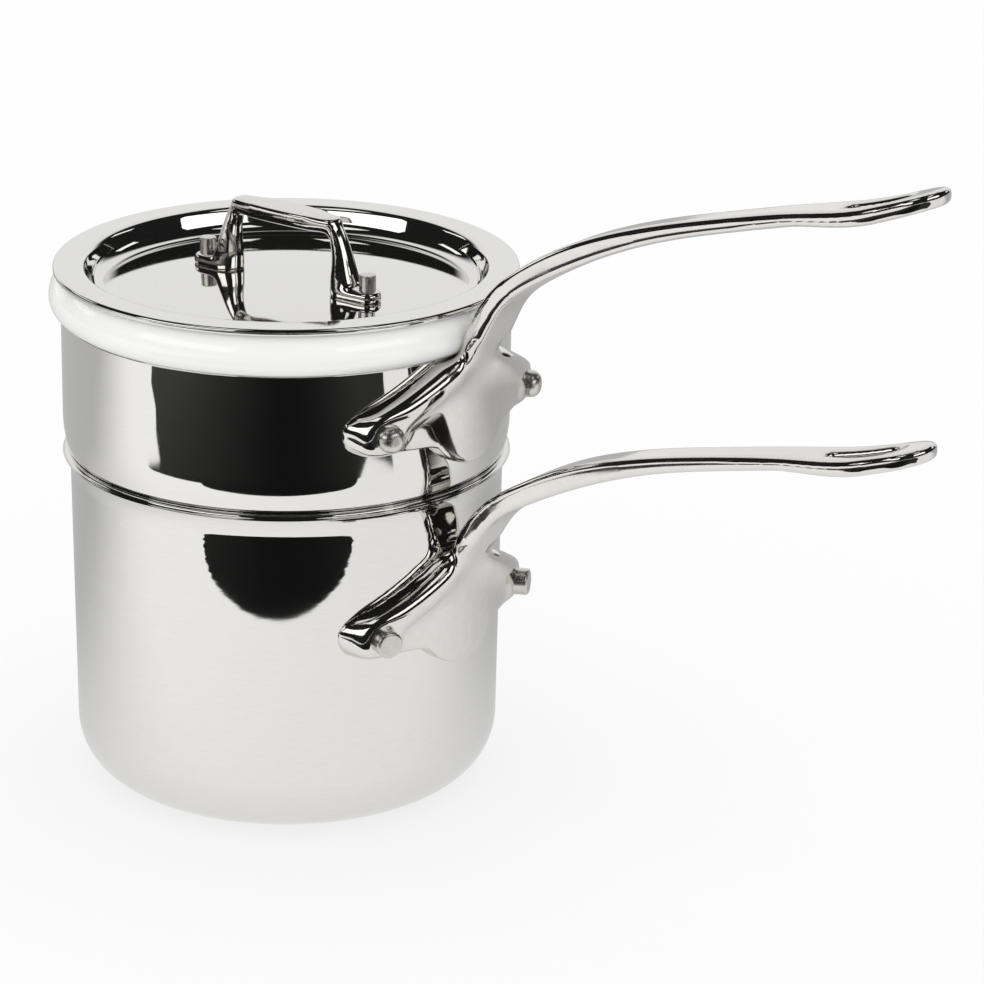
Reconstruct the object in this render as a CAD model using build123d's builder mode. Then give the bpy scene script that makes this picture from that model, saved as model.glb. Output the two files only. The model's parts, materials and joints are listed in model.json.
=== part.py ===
from build123d import *
from math import acos, asin, atan2, cos, degrees, hypot, radians, sin, sqrt
import os

os.makedirs("parts", exist_ok=True)

# A double boiler: a saucepan for the water, a steel collar standing in its mouth,
# a porcelain insert hanging in the collar and a lid on the insert.
# The pot's axis is Z, the table is at zero and both long handles point along +X.

# Clearances
seat_gap = 0.3            # between round faces that carry each other
hole_gap = 0.06           # between a rivet and its hole
rim_gap = 0.6             # between the collar's handle and the insert's rim
overrun = 4.0             # how far every cutting tool runs past what it cuts

# Lower pot
pot_radius = 72.5         # outside, under the lip
pot_taper = 1.2           # how much narrower it is at the foot
pot_wall = 2.6
pot_floor = 3.4
pot_corner = 20.0         # outside radius between floor and wall
flare_start = 107.3       # height where the pouring lip leaves the wall
flare_radius = 12.0
flare_angle = 44.0        # degrees of arc in the lip
lip_round_share = 0.46    # of the wall, at the lip's edge

# Collar, nested in the pot's lip
collar_step_out = 2.3       # how far the collar's wall stands outside the pot's
collar_wall = 2.0
collar_height = 55.7        # from the start of the pot's lip to the collar's top edge
collar_bowl_drop = 36.2     # from the top edge down to where the straight wall curves in
collar_seat_angle = 41.5    # degrees of the pot's lip that the seat follows up to the bowl
skirt_length = 6.5          # locating skirt below the seat
skirt_wall = 1.8

# Porcelain insert
rim_overhang = 3.9        # widest point of the rolled rim beyond the collar's wall
rim_height = 13.8
rim_foot_inset = 0.2      # where the roll meets the collar's edge, inside its wall
rim_crown_inset = 3.7     # where the roll meets its flat top, inside its widest point
rim_belly_share = 0.40    # height of the widest point, of the rim's height
rim_width = 5.8           # flat top, from its outer edge to the mouth
mouth_round = 1.6
insert_wall = 4.2
insert_floor = 5.0
shoulder_drop = 5.0       # locating band just under the rim
shoulder_step = 2.5       # from that band in to the body
insert_taper = 4.0        # how much narrower the lower body is
taper_top_drop = 32.0     # from the collar's top edge down to the taper
taper_length = 18.0
insert_depth = 115.5      # from the collar's top edge down to the underside
insert_corner = 19.0

# Lid
lid_inset = 1.5           # edge of the flange inside the rim's widest point
lid_sheet = 2.4
flange_width = 10.1
recess_lean = 2.9         # how much narrower the recess is at its floor
recess_depth = 7.3        # from the flange's top to the recess floor
recess_round = 1.9
brow_round = 1.2

# Long handles: one casting, bent a little more on the collar
handle_reach = 178.0      # from the wall to the tip
handle_rise = 95.0        # from the rivets to the tip
handle_thickness = 7.0
loop_width = 21.0
hole_wide_radius = 5.2
hole_narrow_radius = 1.3
collar_neck_bend = 2.5    # how much taller the collar's handle stands
collar_handle_tilt = 2.0  # degrees
bar_round = 1.2
# Each row is a station on the bar's centre line: share of the reach, share of the rise,
# share of the neck bend and share of the thickness.
bar_shares = [
    (0.014, 0.103, 0.00, 0.62),
    (0.022, 0.186, 0.00, 0.80),
    (0.038, 0.253, 0.00, 0.89),
    (0.059, 0.321, 0.15, 0.91),
    (0.082, 0.386, 0.60, 0.91),
    (0.113, 0.447, 0.85, 0.92),
    (0.160, 0.506, 1.00, 0.96),
    (0.258, 0.606, 1.00, 1.00),
    (0.375, 0.696, 1.00, 0.84),
    (0.461, 0.747, 1.00, 0.72),
    (0.592, 0.809, 1.00, 0.64),
    (0.723, 0.865, 1.00, 0.66),
    (0.859, 0.913, 1.00, 0.78),
    (0.925, 0.953, 1.00, 0.76),
    (1.000, 1.000, 1.00, 0.70),
    (1.040, 1.020, 1.00, 0.68),
]
# Half width of the bar seen from above: share of the reach, share of half the loop's width.
width_shares = [
    (0.000, 0.90),
    (0.045, 0.86),
    (0.100, 0.74),
    (0.220, 0.68),
    (0.420, 0.66),
    (0.640, 0.67),
    (0.770, 0.84),
    (0.870, 1.00),
]
loop_end_share = 0.97     # radius of the loop's round end, of half its width
hole_wide_share = 0.905   # of the reach, centre of the hole's round end
hole_narrow_share = 0.782

# Plate of the long handle, drawn as seen along the handle
plate_thickness = 5.0
plate_round = 1.3
rivet_angle = 26.5        # degrees each side of the handle
pad_radius = 7.7
pad_shift = 1.8           # pad centre beyond its rivet
hub_radius = 14.8
hub_out = 6.0
hub_up = 8.0
lobe_radius = 20.5
lobe_up = 4.4
notch_round = 4.0
ridge_thickness = 8.6     # from the wall to the crest of the arm's ridge
ridge_root_radius = 4.2
ridge_root_out = 10.6
ridge_root_up = 16.2
ridge_bend_radius = 4.5
ridge_bend_up = 3.4
ridge_tip_radius = 4.3
ridge_tip_up = -2.4
ridge_tip_out = 2.9       # beyond the pad centre
ridge_round = 2.4
rivet_seat_radius = 6.2   # round flat left free for the rivet

# Rivets of the long handles
pot_rivet_drop = 35.0     # below the start of the pot's lip
collar_rivet_drop = 20.5  # below the collar's top edge
rivet_radius = 4.5
rivet_stub = 6.5          # beyond the plate
pot_stub_round = 1.1      # the pot's rivets end nearly flat
collar_stub_round = 3.3   # the collar's end in a dome
rivet_head_radius = 7.0   # flat head inside the wall
rivet_head = 1.3

# Lid handle
arch_height = 25.8        # recess floor to the top of the bar
arch_bar = 5.4            # thickness of the bar
arch_bar_out = 22.3       # half the bar's length
arch_half_width = 5.7     # at the middle of the bar
arch_end_half_width = 3.8
arch_end_round_share = 0.8  # of the half width, at the bar's four corners
arch_top_round = 0.8
arch_under_round = 2.2
arch_leg_out = 25.2       # centre of a leg at its pad
arch_leg_half_length = 5.4
arch_leg_half_width = 5.5
arch_pad = 3.9
arch_pad_in = 25.6
arch_pad_in_radius = 5.8
arch_pad_radius = 4.9     # round the rivet
arch_pad_round = 1.5
arch_rivet_out = 34.4
# Sections of a leg: share of the height, of the leg's place and of its half length and width.
leg_shares = [
    (0.14, 1.00, 1.00, 1.00),
    (0.28, 0.98, 0.86, 0.90),
    (0.50, 0.95, 0.66, 0.75),
    (0.74, 0.88, 0.56, 0.65),
    (0.93, 0.78, 0.46, 0.58),
]
lid_rivet_radius = 2.8
lid_rivet_stub = 5.1
lid_rivet_round = 0.5
lid_rivet_head_radius = 5.0
lid_rivet_head = 1.1

# Radii and heights that follow from the sizes above
collar_radius = pot_radius + collar_step_out
collar_top = flare_start + collar_height
pot_rivet_height = flare_start - pot_rivet_drop
collar_rivet_height = collar_top - collar_rivet_drop
pot_slope = pot_taper / flare_start
pot_rivet_radius = pot_radius - pot_slope * (flare_start - pot_rivet_height)
flare_centre = (pot_radius + flare_radius, flare_start)
seat_radius = flare_radius + pot_wall + seat_gap
skirt_radius = flare_centre[0] - seat_radius
seat_top = (flare_centre[0] - seat_radius * cos(radians(collar_seat_angle)),
            flare_start + seat_radius * sin(radians(collar_seat_angle)))
bowl_step = collar_radius - seat_top[0]
bowl_fall = collar_top - collar_bowl_drop - seat_top[1]
bowl_radius = hypot(bowl_step, bowl_fall)**2 / 2 / bowl_step
bowl_centre = (collar_radius - bowl_radius, collar_top - collar_bowl_drop)
bowl_sweep = degrees(asin(bowl_fall / bowl_radius))
rim_radius = collar_radius + rim_overhang
rim_foot_radius = collar_radius - rim_foot_inset
rim_crown_radius = rim_radius - rim_crown_inset
rim_top = collar_top + rim_height
mouth_radius = rim_crown_radius - rim_width
shoulder_radius = collar_radius - collar_wall - seat_gap
insert_upper_radius = shoulder_radius - shoulder_step
insert_lower_radius = insert_upper_radius - insert_taper
taper_top = collar_top - taper_top_drop
taper_bottom = taper_top - taper_length
insert_bottom = collar_top - insert_depth
lid_radius = rim_radius - lid_inset
lid_top = rim_top + lid_sheet
recess_radius = lid_radius - flange_width
recess_floor_radius = recess_radius - recess_lean
recess_floor = lid_top - recess_depth


# Lower pot: a thick straight wall on a rounded foot, opening in a trumpet lip
with BuildPart() as lower_pot:
    with BuildSketch(Plane.XZ) as pot_section:
        with BuildLine():
            outer_lip = CenterArc(flare_centre, flare_radius, 180, -flare_angle)
            inner_lip = CenterArc(flare_centre, flare_radius + pot_wall, 180, -flare_angle)
            Line(outer_lip @ 1, inner_lip @ 1)
            FilletPolyline((0, 0), (pot_radius - pot_taper, 0), outer_lip @ 0, radius=pot_corner)
            FilletPolyline((0, pot_floor), (pot_radius - pot_taper - pot_wall, pot_floor), inner_lip @ 0,
                           radius=pot_corner - pot_wall)
            Line((0, 0), (0, pot_floor))
        make_face()
        fillet(pot_section.vertices().sort_by(Axis.Y)[-2:], pot_wall * lip_round_share)
    revolve(axis=Axis.Z)
    for side in (1, -1):
        hole_plane = Plane((0, 0, pot_rivet_height),
                           z_dir=(cos(radians(rivet_angle)), side * sin(radians(rivet_angle)), 0))
        with BuildSketch(hole_plane.offset(pot_radius - pot_wall - overrun)):
            Circle(rivet_radius + hole_gap)
        extrude(amount=pot_wall + 2 * overrun, mode=Mode.SUBTRACT)
lower_pot.part.label = "lower_pot"
export_step(lower_pot.part, "parts/lower_pot.step")


# Collar: a straight band whose lower edge curves in and follows the pot's lip down
with BuildPart() as collar:
    with BuildSketch(Plane.XZ) as collar_section:
        with BuildLine():
            bowl = CenterArc(bowl_centre, bowl_radius, 0, -bowl_sweep)
            seat = CenterArc(flare_centre, seat_radius, 180, -collar_seat_angle)
            inner_bowl = CenterArc(bowl_centre, bowl_radius - collar_wall, 0, -bowl_sweep)
            skirt_foot = flare_start - skirt_length
            Polyline(inner_bowl @ 0, (collar_radius - collar_wall, collar_top),
                     (collar_radius, collar_top), bowl @ 0)
            Polyline(seat @ 0, (skirt_radius, skirt_foot), (skirt_radius - skirt_wall, skirt_foot),
                     (skirt_radius - skirt_wall, (inner_bowl @ 1).Y), inner_bowl @ 1)
        make_face()
    revolve(axis=Axis.Z)
    for side in (1, -1):
        hole_plane = Plane((0, 0, collar_rivet_height),
                           z_dir=(cos(radians(rivet_angle)), side * sin(radians(rivet_angle)), 0))
        with BuildSketch(hole_plane.offset(collar_radius - collar_wall - overrun)):
            Circle(rivet_radius + hole_gap)
        extrude(amount=collar_wall + 2 * overrun, mode=Mode.SUBTRACT)
collar.part.label = "collar"
export_step(collar.part, "parts/collar.step")


# Porcelain insert: a deep bowl hanging by its rolled rim
with BuildPart() as porcelain_insert:
    with BuildSketch(Plane.XZ) as insert_section:
        with BuildLine():
            belly = (rim_radius, collar_top + rim_height * rim_belly_share)
            under_roll = TangentArc(belly, (rim_foot_radius, collar_top), tangent=(0, -1))
            over_roll = TangentArc(belly, (rim_crown_radius, rim_top), tangent=(0, 1))
            FilletPolyline((0, insert_bottom), (insert_lower_radius, insert_bottom),
                           (insert_lower_radius, taper_bottom), (insert_upper_radius, taper_top),
                           (insert_upper_radius, collar_top - 2 * shoulder_drop),
                           (shoulder_radius, collar_top - shoulder_drop), (shoulder_radius, collar_top),
                           radius=[insert_corner, insert_corner, insert_corner,
                                   shoulder_drop / 2, mouth_round])
            Line((shoulder_radius, collar_top), (rim_foot_radius, collar_top))
            FilletPolyline((0, insert_bottom + insert_floor),
                           (insert_lower_radius - insert_wall, insert_bottom + insert_floor),
                           (insert_lower_radius - insert_wall, taper_bottom),
                           (insert_upper_radius - insert_wall, taper_top),
                           (mouth_radius, collar_top - shoulder_drop), (mouth_radius, rim_top),
                           (rim_crown_radius, rim_top),
                           radius=[insert_corner - insert_wall, insert_corner, insert_corner,
                                   insert_corner, mouth_round])
            Line((0, insert_bottom), (0, insert_bottom + insert_floor))
        make_face()
        fillet(insert_section.vertices().sort_by(lambda v: hypot(v.X - rim_crown_radius, v.Y - rim_top))[0],
               mouth_round)
    revolve(axis=Axis.Z)
porcelain_insert.part.label = "porcelain_insert"
export_step(porcelain_insert.part, "parts/porcelain_insert.step")


# Lid: a flat flange round a shallow pressed recess
with BuildPart() as lid:
    with BuildSketch(Plane.XZ) as lid_section:
        with BuildLine():
            lean = atan2(recess_radius - recess_floor_radius, recess_depth)
            side_step = lid_sheet * (1 - sin(lean)) / cos(lean)
            FilletPolyline((0, recess_floor), (recess_floor_radius, recess_floor),
                           (recess_radius, lid_top), (lid_radius, lid_top), (lid_radius, rim_top),
                           (recess_radius + side_step, rim_top),
                           (recess_floor_radius + side_step, recess_floor - lid_sheet),
                           (0, recess_floor - lid_sheet),
                           radius=[recess_round, brow_round, lid_sheet * lip_round_share,
                                   lid_sheet * lip_round_share, brow_round, recess_round + lid_sheet])
            Line((0, recess_floor), (0, recess_floor - lid_sheet))
        make_face()
    revolve(axis=Axis.Z)
    with BuildSketch(Plane.XY.offset(recess_floor - lid_sheet - overrun)):
        with Locations((arch_rivet_out, 0), (-arch_rivet_out, 0)):
            Circle(lid_rivet_radius + hole_gap)
    extrude(amount=lid_sheet + 2 * overrun, mode=Mode.SUBTRACT)
lid.part.label = "lid"
export_step(lid.part, "parts/lid.step")


def belt(centre_a, radius_a, centre_b, radius_b):
    """A flat shape like a belt pulled round two wheels."""
    run, climb = centre_b[0] - centre_a[0], centre_b[1] - centre_a[1]
    heading, lean = atan2(climb, run), acos((radius_a - radius_b) / hypot(run, climb))
    touches = [(centre_a, radius_a, lean), (centre_b, radius_b, lean),
               (centre_b, radius_b, -lean), (centre_a, radius_a, -lean)]
    with BuildSketch() as band:
        with BuildLine():
            Polyline(*[(c[0] + r * cos(heading + turn), c[1] + r * sin(heading + turn))
                       for c, r, turn in touches], close=True)
        make_face()
        for centre, radius in ((centre_a, radius_a), (centre_b, radius_b)):
            with Locations(centre):
                Circle(radius)
    return band.sketch


def bar_centre(out, up, bend_share, bend, tilt):
    """A point of the bar's centre line, measured from the wall and from the rivets' height."""
    x, z = handle_reach * out, handle_rise * up + bend * bend_share
    turn, pivot = radians(tilt) * bend_share, handle_rise * bar_shares[2][1]
    return x * cos(turn) - (z - pivot) * sin(turn), z + x * sin(turn)


def bar_lines(wall_radius, rivet_height, bend, tilt):
    """Points of the bar's upper and lower side lines, in the handle's own upright plane."""
    centre = [bar_centre(out, up, bend_share, bend, tilt) for out, up, bend_share, _ in bar_shares]
    upper, lower = [], []
    for i, (x, z) in enumerate(centre):
        before, after = centre[max(i - 1, 0)], centre[min(i + 1, len(centre) - 1)]
        run, climb = after[0] - before[0], after[1] - before[1]
        half = handle_thickness * bar_shares[i][3] / 2 / hypot(run, climb)
        upper.append((wall_radius + x - climb * half, rivet_height + z + run * half))
        lower.append((wall_radius + x + climb * half, rivet_height + z - run * half))
    return upper, lower


def handle_bar(wall_radius, rivet_height, bend, tilt):
    """The bar with its loop and hanging hole, thick and upright at the neck."""
    upper, lower = bar_lines(wall_radius, rivet_height, bend, tilt)
    reach = bar_centre(1, 1, 1, bend, tilt)[0]
    end_radius = loop_width / 2 * loop_end_share
    stations = [(wall_radius + reach * out, loop_width / 2 * half) for out, half in width_shares]
    stations.append((wall_radius + reach - end_radius, end_radius))
    root_run, root_step = stations[1][0] - stations[0][0], stations[1][1] - stations[0][1]
    with BuildPart() as bar:
        with BuildSketch(Plane.XZ):
            with BuildLine():
                top_line = Spline(*upper)
                low_line = Spline(*lower)
                Line(top_line @ 0, low_line @ 0)
                Line(top_line @ 1, low_line @ 1)
            make_face()
        extrude(amount=loop_width, both=True)
        with BuildSketch(Plane.XY.offset(rivet_height - overrun)):
            with BuildLine():
                near = Spline(*[(x, -half) for x, half in stations],
                              tangents=[(root_run, -root_step), (1, 0)])
                far = Spline(*[(x, half) for x, half in stations],
                             tangents=[(root_run, root_step), (1, 0)])
                Line(near @ 0, far @ 0)
                ThreePointArc(near @ 1, (wall_radius + reach, 0), far @ 1)
            make_face()
        extrude(amount=2 * handle_rise, mode=Mode.INTERSECT)
        with BuildSketch(Plane.XY.offset(rivet_height - overrun)):
            add(belt((wall_radius + reach * hole_wide_share, 0), hole_wide_radius,
                     (wall_radius + reach * hole_narrow_share, 0), hole_narrow_radius))
        extrude(amount=2 * handle_rise, mode=Mode.SUBTRACT)
        long_edges = bar.edges().filter_by(lambda e: e.center().X > wall_radius + handle_thickness
                                           and e.length > 2 * handle_thickness)
        fillet(long_edges, bar_round)
    return bar.part


def wall_slab(wall_radius, slope, thickness, rivet_height):
    """A full ring lying on the wall, as thick as the piece cut from it."""
    low, high = rivet_height - 2 * lobe_radius, rivet_height + 2 * lobe_radius
    low_radius = wall_radius + slope * (low - rivet_height)
    high_radius = wall_radius + slope * (high - rivet_height)
    with BuildPart() as slab:
        with BuildSketch(Plane.XZ):
            with BuildLine():
                Polyline((low_radius, low), (low_radius + thickness, low),
                         (high_radius + thickness, high), (high_radius, high), close=True)
            make_face()
        revolve(axis=Axis.Z)
    return slab.part


def handle_plate(wall_radius, slope, rivet_height, plate_top):
    """The plate on the wall: two pads, two arms and a round lobe below, level at plate_top."""
    pad_out = (wall_radius + plate_thickness) * sin(radians(rivet_angle)) + pad_shift
    with BuildPart() as plate:
        add(wall_slab(wall_radius, slope, plate_thickness, rivet_height))
        with BuildSketch(Plane.YZ) as outline:
            for side in (1, -1):
                add(belt((side * hub_out, rivet_height + hub_up), hub_radius,
                         (side * pad_out, rivet_height), pad_radius))
            with Locations((0, rivet_height + lobe_up)):
                Circle(lobe_radius)
            notches = outline.vertices().filter_by(
                lambda v: abs(v.X) > hub_radius and v.Y < rivet_height)
            fillet(notches.sort_by(lambda v: abs(abs(v.X) - lobe_radius))[:2], notch_round)
        extrude(amount=wall_radius + 2 * plate_thickness, mode=Mode.INTERSECT)
        split(bisect_by=Plane.XY.offset(plate_top), keep=Keep.BOTTOM)
        rims = plate.edges().filter_by(
            lambda e: hypot(e.center().X, e.center().Y) > wall_radius + plate_thickness - seat_gap)
        fillet(rims, plate_round)
    return plate.part


def arm_ridge(wall_radius, slope, rivet_height, side):
    """The rounded ridge on an arm, from the neck down round the pad's outer end."""
    pad_out = (wall_radius + plate_thickness) * sin(radians(rivet_angle)) + pad_shift
    root = (side * ridge_root_out, rivet_height + ridge_root_up)
    bend = (side * pad_out, rivet_height + ridge_bend_up)
    tip = (side * (pad_out + ridge_tip_out), rivet_height + ridge_tip_up)
    seat_axis = (cos(radians(rivet_angle)), side * sin(radians(rivet_angle)), 0)
    with BuildPart() as ridge:
        add(wall_slab(wall_radius, slope, ridge_thickness, rivet_height))
        with BuildSketch(Plane.YZ):
            add(belt(root, ridge_root_radius, bend, ridge_bend_radius))
            add(belt(bend, ridge_bend_radius, tip, ridge_tip_radius))
        extrude(amount=wall_radius + 2 * ridge_thickness, mode=Mode.INTERSECT)
        crests = ridge.edges().filter_by(
            lambda e: hypot(e.center().X, e.center().Y) > wall_radius + ridge_thickness - seat_gap)
        fillet(crests, ridge_round)
        seat_plane = Plane((0, 0, rivet_height), z_dir=seat_axis)
        with BuildSketch(seat_plane.offset(wall_radius + plate_thickness)):
            Circle(rivet_seat_radius)
        extrude(amount=2 * ridge_thickness, mode=Mode.SUBTRACT)
    return ridge.part


def long_handle(wall_radius, slope, rivet_height, plate_top, bend, tilt):
    """One cast handle on a wall of the given radius at its rivets."""
    with BuildPart() as handle:
        add(handle_plate(wall_radius, slope, rivet_height, plate_top))
        add(handle_bar(wall_radius, rivet_height, bend, tilt))
        for side in (1, -1):
            add(arm_ridge(wall_radius, slope, rivet_height, side))
        for side in (1, -1):
            hole_plane = Plane((0, 0, rivet_height),
                               z_dir=(cos(radians(rivet_angle)), side * sin(radians(rivet_angle)), 0))
            with BuildSketch(hole_plane.offset(wall_radius - overrun)):
                Circle(rivet_radius + hole_gap)
            extrude(amount=ridge_thickness + 2 * overrun, mode=Mode.SUBTRACT)
    return handle.part


def wall_rivet(name, wall_radius, wall, rivet_height, stub_round, side):
    """A solid rivet: flat head inside the wall, blunt stub outside the plate."""
    axis = Plane((0, 0, rivet_height), z_dir=(cos(radians(rivet_angle)), side * sin(radians(rivet_angle)), 0))
    inner_face = sqrt((wall_radius - wall)**2 - rivet_head_radius**2) - hole_gap
    with BuildPart() as rivet:
        with BuildSketch(axis.offset(inner_face - rivet_head)):
            Circle(rivet_head_radius)
        extrude(amount=rivet_head)
        with BuildSketch(axis.offset(inner_face)):
            Circle(rivet_radius)
        extrude(amount=wall_radius + plate_thickness + rivet_stub - inner_face)
        stub_end = rivet.edges().sort_by(lambda e: -e.center().dot(axis.z_dir))[0]
        fillet(stub_end, stub_round)
        head_edge = rivet.edges().sort_by(lambda e: e.center().dot(axis.z_dir))[0]
        fillet(head_edge, rivet_head * lip_round_share)
    rivet.part.label = name
    export_step(rivet.part, "parts/" + name + ".step")


with BuildPart() as lower_handle:
    add(long_handle(pot_rivet_radius, pot_slope, pot_rivet_height, flare_start, 0, 0))
lower_handle.part.label = "lower_handle"
export_step(lower_handle.part, "parts/lower_handle.step")


# The collar's handle is hollowed behind its neck to clear the insert's rolled rim
with BuildPart() as collar_handle:
    add(long_handle(collar_radius, 0, collar_rivet_height, collar_top,
                    collar_neck_bend, collar_handle_tilt))
    with BuildSketch(Plane.XZ):
        with BuildLine():
            belly = (rim_radius + rim_gap, collar_top + rim_height * rim_belly_share)
            roll = TangentArc(belly, (rim_foot_radius + rim_gap, collar_top - rim_gap), tangent=(0, -1))
            Polyline(roll @ 1, (mouth_radius, collar_top - rim_gap), (mouth_radius, lid_top + overrun),
                     (rim_radius + rim_gap, lid_top + overrun), belly)
        make_face()
    revolve(axis=Axis.Z, mode=Mode.SUBTRACT)
collar_handle.part.label = "collar_handle"
export_step(collar_handle.part, "parts/collar_handle.step")

for side, word in ((-1, "left"), (1, "right")):
    wall_rivet("lower_rivet_" + word, pot_rivet_radius, pot_wall, pot_rivet_height, pot_stub_round, side)
    wall_rivet("collar_rivet_" + word, collar_radius, collar_wall, collar_rivet_height,
               collar_stub_round, side)


# Lid handle: a cast arch, its bar broad and flat on top, standing on two rounded pads
with BuildPart() as lid_handle:
    with BuildSketch(Plane.XY.offset(recess_floor + arch_height - arch_bar)) as bar_outline:
        with BuildLine():
            near_side = ThreePointArc((-arch_bar_out, -arch_end_half_width), (0, -arch_half_width),
                                      (arch_bar_out, -arch_end_half_width))
            far_side = ThreePointArc((-arch_bar_out, arch_end_half_width), (0, arch_half_width),
                                     (arch_bar_out, arch_end_half_width))
            for end in (0, 1):
                Line(near_side @ end, far_side @ end)
        make_face()
        fillet(bar_outline.vertices(), arch_end_half_width * arch_end_round_share)
    extrude(amount=arch_bar)
    fillet(lid_handle.faces().sort_by(Axis.Z)[-1].edges(), arch_top_round)
    fillet(lid_handle.faces().sort_by(Axis.Z)[0].edges(), arch_under_round)
    for side in (1, -1):
        with BuildSketch(Plane.XY.offset(recess_floor)):
            add(belt((side * arch_pad_in, 0), arch_pad_in_radius,
                     (side * arch_rivet_out, 0), arch_pad_radius))
        extrude(amount=arch_pad)
    pad_rims = lid_handle.edges().filter_by(
        lambda e: abs(e.center().Z - recess_floor - arch_pad) < seat_gap)
    fillet(pad_rims, arch_pad_round)
for side in (1, -1):
    with BuildPart() as leg:
        for up_share, out_share, long_share, wide_share in leg_shares:
            with BuildSketch(Plane.XY.offset(recess_floor + arch_height * up_share)):
                with Locations((side * arch_leg_out * out_share, 0)):
                    Ellipse(arch_leg_half_length * long_share, arch_leg_half_width * wide_share)
        loft()
    with lid_handle:
        add(leg.part)
with lid_handle:
    with BuildSketch(Plane.XY.offset(recess_floor - overrun)):
        with Locations((arch_rivet_out, 0), (-arch_rivet_out, 0)):
            Circle(lid_rivet_radius + hole_gap)
    extrude(amount=arch_pad + 2 * overrun, mode=Mode.SUBTRACT)
lid_handle.part.label = "lid_handle"
export_step(lid_handle.part, "parts/lid_handle.step")


# Lid rivets: flat head under the lid, blunt stub on the pad
for side, word in ((-1, "left"), (1, "right")):
    with BuildPart() as lid_rivet:
        with BuildSketch(Plane.XY.offset(recess_floor - lid_sheet - lid_rivet_head)):
            with Locations((side * arch_rivet_out, 0)):
                Circle(lid_rivet_head_radius)
        extrude(amount=lid_rivet_head)
        fillet(lid_rivet.edges().sort_by(Axis.Z)[0], lid_rivet_head * lip_round_share)
        with BuildSketch(Plane.XY.offset(recess_floor - lid_sheet)):
            with Locations((side * arch_rivet_out, 0)):
                Circle(lid_rivet_radius)
        extrude(amount=lid_sheet + arch_pad + lid_rivet_stub)
        fillet(lid_rivet.edges().sort_by(Axis.Z)[-1], lid_rivet_round)
    lid_rivet.part.label = "lid_rivet_" + word
    export_step(lid_rivet.part, "parts/lid_rivet_" + word + ".step")
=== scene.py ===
import json
import math
import bmesh
import bpy
import numpy
from mathutils import Matrix, Vector
from mathutils.geometry import intersect_point_line


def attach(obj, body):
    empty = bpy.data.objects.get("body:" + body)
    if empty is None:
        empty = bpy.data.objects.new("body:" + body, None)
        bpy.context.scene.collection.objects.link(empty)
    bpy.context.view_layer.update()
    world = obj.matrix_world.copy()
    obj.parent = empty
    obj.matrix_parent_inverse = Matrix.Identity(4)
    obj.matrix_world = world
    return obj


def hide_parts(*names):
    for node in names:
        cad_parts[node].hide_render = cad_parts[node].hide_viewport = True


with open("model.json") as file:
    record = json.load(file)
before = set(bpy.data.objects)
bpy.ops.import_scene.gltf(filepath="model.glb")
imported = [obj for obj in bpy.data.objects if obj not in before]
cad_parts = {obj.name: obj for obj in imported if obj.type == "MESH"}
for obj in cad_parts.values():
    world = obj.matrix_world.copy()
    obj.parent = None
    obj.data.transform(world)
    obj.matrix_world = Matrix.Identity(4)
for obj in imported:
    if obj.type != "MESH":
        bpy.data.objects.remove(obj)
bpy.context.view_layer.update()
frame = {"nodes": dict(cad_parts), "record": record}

mm = 0.001  # sizes are given in millimetres and turned to metres where a mesh is made

print("frame loaded:", len(frame["nodes"]), "nodes")

# Where the camera stands, seen from the pot's axis. Bearings are degrees from +X, anticlockwise from above.
cameraSetup = {
    "bearing": -50.0,
    "distance": 1.2830,
    "height": 0.5597,
    "yaw": 2.99,          # turned right of the axis
    "pitch": 19.58,
    "roll": 0.88,
    "lens": 147.44,       # for a 36 mm sensor
    "shift": (0.0067, -0.0150),
}


def toLinear(hexColour):  # sRGB hex to linear RGBA
    channels = [int(hexColour[i:i + 2], 16) / 255 for i in (0, 2, 4)]
    return [c / 12.92 if c <= 0.04045 else ((c + 0.055) / 1.055) ** 2.4 for c in channels] + [1.0]


def addNode(tree, kind, settings=None, links=None):
    node = tree.nodes.new(kind)
    for key, value in (settings or {}).items():
        if key in node.inputs:
            node.inputs[key].default_value = value
        else:
            setattr(node, key, value)
    for key, source in (links or {}).items():
        tree.links.new(source, node.inputs[key])
    return node


def newMaterial(name):
    material = bpy.data.materials.new(name)
    material.use_nodes = True
    tree = material.node_tree
    tree.nodes.clear()
    return material, tree


def finishMaterial(material, tree, shader):
    addNode(tree, "ShaderNodeOutputMaterial", links={"Surface": shader})
    return material


def stretchedNoise(tree, scale, detail, roughness):  # noise in object space, its scale given per axis
    where = addNode(tree, "ShaderNodeTexCoord")
    mapped = addNode(tree, "ShaderNodeMapping", {"Scale": scale}, {"Vector": where.outputs["Object"]})
    return addNode(tree, "ShaderNodeTexNoise", {"Scale": 1.0, "Detail": detail, "Roughness": roughness},
                   {"Vector": mapped.outputs["Vector"]})


def ringNoise(tree, pitch, detail, roughness):
    # changes with the distance from the pot's axis alone, as turned rings do
    where = addNode(tree, "ShaderNodeTexCoord")
    flat = addNode(tree, "ShaderNodeMapping", {"Scale": (1, 1, 0)}, {"Vector": where.outputs["Object"]})
    distance = addNode(tree, "ShaderNodeVectorMath", {"operation": "LENGTH"})
    tree.links.new(flat.outputs["Vector"], distance.inputs[0])
    return addNode(tree, "ShaderNodeTexNoise",
                   {"noise_dimensions": "1D", "Scale": 1 / pitch, "Detail": detail, "Roughness": roughness},
                   {"W": distance.outputs["Value"]})


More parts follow.
